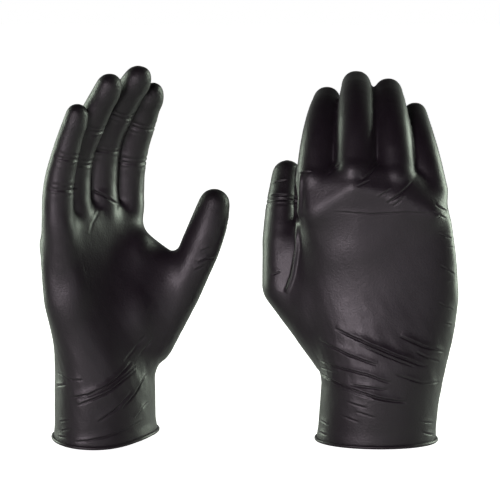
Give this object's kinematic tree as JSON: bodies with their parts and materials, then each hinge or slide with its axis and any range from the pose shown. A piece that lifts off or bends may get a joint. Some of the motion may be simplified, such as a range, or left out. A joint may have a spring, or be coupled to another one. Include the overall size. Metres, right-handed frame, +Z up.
{
  "type": "pair of disposable gloves",
  "caption": "Pair of thin black dipped disposable gloves with rolled cuffs, filled out as on a hand and standing upright on their open cuffs, one palm forward and one back forward.",
  "frame": {"origin": "centre of the pair's footprint box, at the table that the rolled beads stand on", "axes": "+X from the palm-forward glove to the back-forward glove, +Y away from the viewer, +Z up to the fingertips"},
  "size_m": [0.2394, 0.0948, 0.2162],
  "materials": {
    "nitrile_film": "satin",
    "nitrile_stall_tip": "finely textured satin",
    "rolled_bead": "satin"
  },
  "bodies": {
    "palm_glove_cuff": {"palm_glove_bead": "rolled_bead", "palm_glove_cuff": "nitrile_film"},
    "palm_glove_hand": {"palm_glove_hand": "nitrile_film"},
    "palm_glove_index_root": {"palm_glove_index_root": "nitrile_film"},
    "palm_glove_index_middle": {"palm_glove_index_middle": "nitrile_film"},
    "palm_glove_index_tip": {"palm_glove_index_tip": "nitrile_stall_tip"},
    "palm_glove_middle_root": {"palm_glove_middle_root": "nitrile_film"},
    "palm_glove_middle_middle": {"palm_glove_middle_middle": "nitrile_film"},
    "palm_glove_middle_tip": {"palm_glove_middle_tip": "nitrile_stall_tip"},
    "palm_glove_ring_root": {"palm_glove_ring_root": "nitrile_film"},
    "palm_glove_ring_middle": {"palm_glove_ring_middle": "nitrile_film"},
    "palm_glove_ring_tip": {"palm_glove_ring_tip": "nitrile_stall_tip"},
    "palm_glove_little_root": {"palm_glove_little_root": "nitrile_film"},
    "palm_glove_little_middle": {"palm_glove_little_middle": "nitrile_film"},
    "palm_glove_little_tip": {"palm_glove_little_tip": "nitrile_stall_tip"},
    "palm_glove_thumb_root": {"palm_glove_thumb_root": "nitrile_film"},
    "palm_glove_thumb_tip": {"palm_glove_thumb_tip": "nitrile_stall_tip"},
    "back_glove_cuff": {"back_glove_bead": "rolled_bead", "back_glove_cuff": "nitrile_film"},
    "back_glove_hand": {"back_glove_hand": "nitrile_film"},
    "back_glove_index_root": {"back_glove_index_root": "nitrile_film"},
    "back_glove_index_middle": {"back_glove_index_middle": "nitrile_film"},
    "back_glove_index_tip": {"back_glove_index_tip": "nitrile_stall_tip"},
    "back_glove_middle_root": {"back_glove_middle_root": "nitrile_film"},
    "back_glove_middle_middle": {"back_glove_middle_middle": "nitrile_film"},
    "back_glove_middle_tip": {"back_glove_middle_tip": "nitrile_stall_tip"},
    "back_glove_ring_root": {"back_glove_ring_root": "nitrile_film"},
    "back_glove_ring_middle": {"back_glove_ring_middle": "nitrile_film"},
    "back_glove_ring_tip": {"back_glove_ring_tip": "nitrile_stall_tip"},
    "back_glove_little_root": {"back_glove_little_root": "nitrile_film"},
    "back_glove_little_middle": {"back_glove_little_middle": "nitrile_film"},
    "back_glove_little_tip": {"back_glove_little_tip": "nitrile_stall_tip"},
    "back_glove_thumb_root": {"back_glove_thumb_root": "nitrile_film"},
    "back_glove_thumb_tip": {"back_glove_thumb_tip": "nitrile_stall_tip"}
  },
  "joints": [
    {"name": "palm_glove_wrist_bend", "type": "hinge", "parent": "palm_glove_cuff", "child": "palm_glove_hand", "pos_m": [-0.08285, -0.0107, 0.044], "axis": [0.6561, 0.7547, 0], "range_deg": [-15, 20], "stiffness_Nm_per_rad": 0.06},
    {"name": "palm_glove_index_root_bend", "type": "hinge", "parent": "palm_glove_hand", "child": "palm_glove_index_root", "pos_m": [-0.07065, 0.01248, 0.136], "axis": [0.6557, 0.7543, 0.0349], "range_deg": [-14, 54], "stiffness_Nm_per_rad": 0.006},
    {"name": "palm_glove_index_middle_bend", "type": "hinge", "parent": "palm_glove_index_root", "child": "palm_glove_index_middle", "pos_m": [-0.0699, 0.01068, 0.16092], "axis": [0.6557, 0.7543, 0.0349], "range_deg": [-16, 56], "stiffness_Nm_per_rad": 0.003},
    {"name": "palm_glove_index_tip_bend", "type": "hinge", "parent": "palm_glove_index_middle", "child": "palm_glove_index_tip", "pos_m": [-0.06446, 0.00495, 0.18252], "axis": [0.6557, 0.7543, 0.0349], "range_deg": [-8, 28], "stiffness_Nm_per_rad": 0.002},
    {"name": "palm_glove_middle_root_bend", "type": "hinge", "parent": "palm_glove_hand", "child": "palm_glove_middle_root", "pos_m": [-0.08636, -0.00102, 0.143], "axis": [0.6561, 0.7547, 0], "range_deg": [-12, 56], "stiffness_Nm_per_rad": 0.006},
    {"name": "palm_glove_middle_middle_bend", "type": "hinge", "parent": "palm_glove_middle_root", "child": "palm_glove_middle_middle", "pos_m": [-0.08565, -0.00164, 0.16998], "axis": [0.6561, 0.7547, 0], "range_deg": [-18, 43], "stiffness_Nm_per_rad": 0.003},
    {"name": "palm_glove_middle_tip_bend", "type": "hinge", "parent": "palm_glove_middle_middle", "child": "palm_glove_middle_tip", "pos_m": [-0.07593, -0.01009, 0.19141], "axis": [0.6561, 0.7547, 0], "range_deg": [-9, 21.5], "stiffness_Nm_per_rad": 0.002},
    {"name": "palm_glove_ring_root_bend", "type": "hinge", "parent": "palm_glove_hand", "child": "palm_glove_ring_root", "pos_m": [-0.09943, -0.01682, 0.138], "axis": [0.656, 0.7546, -0.0175], "range_deg": [-11, 57], "stiffness_Nm_per_rad": 0.006},
    {"name": "palm_glove_ring_middle_bend", "type": "hinge", "parent": "palm_glove_ring_root", "child": "palm_glove_ring_middle", "pos_m": [-0.09882, -0.01678, 0.16299], "axis": [0.656, 0.7546, -0.0175], "range_deg": [-10, 43], "stiffness_Nm_per_rad": 0.003},
    {"name": "palm_glove_ring_tip_bend", "type": "hinge", "parent": "palm_glove_ring_middle", "child": "palm_glove_ring_tip", "pos_m": [-0.08972, -0.02422, 0.18334], "axis": [0.656, 0.7546, -0.0175], "range_deg": [-5, 21.5], "stiffness_Nm_per_rad": 0.002},
    {"name": "palm_glove_little_root_bend", "type": "hinge", "parent": "palm_glove_hand", "child": "palm_glove_little_root", "pos_m": [-0.10672, -0.03434, 0.127], "axis": [0.6552, 0.7537, -0.0523], "range_deg": [-10, 58], "stiffness_Nm_per_rad": 0.006},
    {"name": "palm_glove_little_middle_bend", "type": "hinge", "parent": "palm_glove_little_root", "child": "palm_glove_little_middle", "pos_m": [-0.10596, -0.03347, 0.14897], "axis": [0.6552, 0.7537, -0.0523], "range_deg": [-10, 57], "stiffness_Nm_per_rad": 0.003},
    {"name": "palm_glove_little_tip_bend", "type": "hinge", "parent": "palm_glove_little_middle", "child": "palm_glove_little_tip", "pos_m": [-0.10173, -0.03591, 0.16681], "axis": [0.6552, 0.7537, -0.0523], "range_deg": [-5, 28.5], "stiffness_Nm_per_rad": 0.002},
    {"name": "palm_glove_thumb_root_bend", "type": "hinge", "parent": "palm_glove_hand", "child": "palm_glove_thumb_root", "pos_m": [-0.02757, -0.00046, 0.108], "axis": [-0.9273, 0.1724, 0.3321], "range_deg": [-26, 15], "stiffness_Nm_per_rad": 0.008},
    {"name": "palm_glove_thumb_tip_bend", "type": "hinge", "parent": "palm_glove_thumb_root", "child": "palm_glove_thumb_tip", "pos_m": [-0.02117, -0.00072, 0.126], "axis": [-0.9273, 0.1724, 0.3321], "range_deg": [-40, 10], "stiffness_Nm_per_rad": 0.002},
    {"name": "back_glove_wrist_bend", "type": "hinge", "parent": "back_glove_cuff", "child": "back_glove_hand", "pos_m": [0.07515, -0.0107, 0.05], "axis": [-0.9986, 0.0523, 0], "range_deg": [-15, 20], "stiffness_Nm_per_rad": 0.06},
    {"name": "back_glove_index_root_bend", "type": "hinge", "parent": "back_glove_hand", "child": "back_glove_index_root", "pos_m": [0.0383, -0.00677, 0.15], "axis": [-0.9912, 0.0519, 0.1219], "range_deg": [-35, 33], "stiffness_Nm_per_rad": 0.006},
    {"name": "back_glove_index_middle_bend", "type": "hinge", "parent": "back_glove_index_root", "child": "back_glove_index_middle", "pos_m": [0.04162, 0.00364, 0.17249], "axis": [-0.9912, 0.0519, 0.1219], "range_deg": [-24, 48], "stiffness_Nm_per_rad": 0.003},
    {"name": "back_glove_index_tip_bend", "type": "hinge", "parent": "back_glove_index_middle", "child": "back_glove_index_tip", "pos_m": [0.04436, 0.02088, 0.18747], "axis": [-0.9912, 0.0519, 0.1219], "range_deg": [-12, 24], "stiffness_Nm_per_rad": 0.002},
    {"name": "back_glove_middle_root_bend", "type": "hinge", "parent": "back_glove_hand", "child": "back_glove_middle_root", "pos_m": [0.06057, -0.01194, 0.155], "axis": [-0.9985, 0.0523, 0.0175], "range_deg": [-35, 33], "stiffness_Nm_per_rad": 0.006},
    {"name": "back_glove_middle_middle_bend", "type": "hinge", "parent": "back_glove_middle_root", "child": "back_glove_middle_middle", "pos_m": [0.06159, -0.00057, 0.17947], "axis": [-0.9985, 0.0523, 0.0175], "range_deg": [-25, 47], "stiffness_Nm_per_rad": 0.003},
    {"name": "back_glove_middle_tip_bend", "type": "hinge", "parent": "back_glove_middle_middle", "child": "back_glove_middle_tip", "pos_m": [0.06287, 0.01854, 0.19553], "axis": [-0.9985, 0.0523, 0.0175], "range_deg": [-12.5, 23.5], "stiffness_Nm_per_rad": 0.002},
    {"name": "back_glove_ring_root_bend", "type": "hinge", "parent": "back_glove_hand", "child": "back_glove_ring_root", "pos_m": [0.08508, -0.01222, 0.152], "axis": [-0.994, 0.0521, -0.0958], "range_deg": [-33, 35], "stiffness_Nm_per_rad": 0.006},
    {"name": "back_glove_ring_middle_bend", "type": "hinge", "parent": "back_glove_ring_root", "child": "back_glove_ring_middle", "pos_m": [0.08339, -0.00235, 0.17491], "axis": [-0.994, 0.0521, -0.0958], "range_deg": [-24, 48], "stiffness_Nm_per_rad": 0.003},
    {"name": "back_glove_ring_tip_bend", "type": "hinge", "parent": "back_glove_ring_middle", "child": "back_glove_ring_tip", "pos_m": [0.08276, 0.01489, 0.19086], "axis": [-0.994, 0.0521, -0.0958], "range_deg": [-12, 24], "stiffness_Nm_per_rad": 0.002},
    {"name": "back_glove_little_root_bend", "type": "hinge", "parent": "back_glove_hand", "child": "back_glove_little_root", "pos_m": [0.10482, -0.00825, 0.143], "axis": [-0.9889, 0.0518, -0.1392], "range_deg": [-31, 37], "stiffness_Nm_per_rad": 0.006},
    {"name": "back_glove_little_middle_bend", "type": "hinge", "parent": "back_glove_little_root", "child": "back_glove_little_middle", "pos_m": [0.10238, -0.00023, 0.16334], "axis": [-0.9889, 0.0518, -0.1392], "range_deg": [-21, 51], "stiffness_Nm_per_rad": 0.003},
    {"name": "back_glove_little_tip_bend", "type": "hinge", "parent": "back_glove_little_middle", "child": "back_glove_little_tip", "pos_m": [0.10111, 0.01224, 0.17695], "axis": [-0.9889, 0.0518, -0.1392], "range_deg": [-10.5, 25.5], "stiffness_Nm_per_rad": 0.002},
    {"name": "back_glove_thumb_root_bend", "type": "hinge", "parent": "back_glove_hand", "child": "back_glove_thumb_root", "pos_m": [0.01912, 0.00926, 0.112], "axis": [0.843, -0.5045, 0.1869], "range_deg": [-26, 15], "stiffness_Nm_per_rad": 0.008},
    {"name": "back_glove_thumb_tip_bend", "type": "hinge", "parent": "back_glove_thumb_root", "child": "back_glove_thumb_tip", "pos_m": [0.01904, 0.01727, 0.134], "axis": [0.843, -0.5045, 0.1869], "range_deg": [-40, 10], "stiffness_Nm_per_rad": 0.002},
    {"name": "back_glove_slide_apart", "type": "slide", "parent": "palm_glove_cuff", "child": "back_glove_cuff", "axis": [1, 0, 0], "range_m": [0, 0.12]}
  ],
  "couplings": [
    {"joint": "palm_glove_index_tip_bend", "follows": "palm_glove_index_middle_bend", "ratio": 0.5},
    {"joint": "palm_glove_middle_tip_bend", "follows": "palm_glove_middle_middle_bend", "ratio": 0.5},
    {"joint": "palm_glove_ring_tip_bend", "follows": "palm_glove_ring_middle_bend", "ratio": 0.5},
    {"joint": "palm_glove_little_tip_bend", "follows": "palm_glove_little_middle_bend", "ratio": 0.5},
    {"joint": "back_glove_index_tip_bend", "follows": "back_glove_index_middle_bend", "ratio": 0.5},
    {"joint": "back_glove_middle_tip_bend", "follows": "back_glove_middle_middle_bend", "ratio": 0.5},
    {"joint": "back_glove_ring_tip_bend", "follows": "back_glove_ring_middle_bend", "ratio": 0.5},
    {"joint": "back_glove_little_tip_bend", "follows": "back_glove_little_middle_bend", "ratio": 0.5}
  ]
}
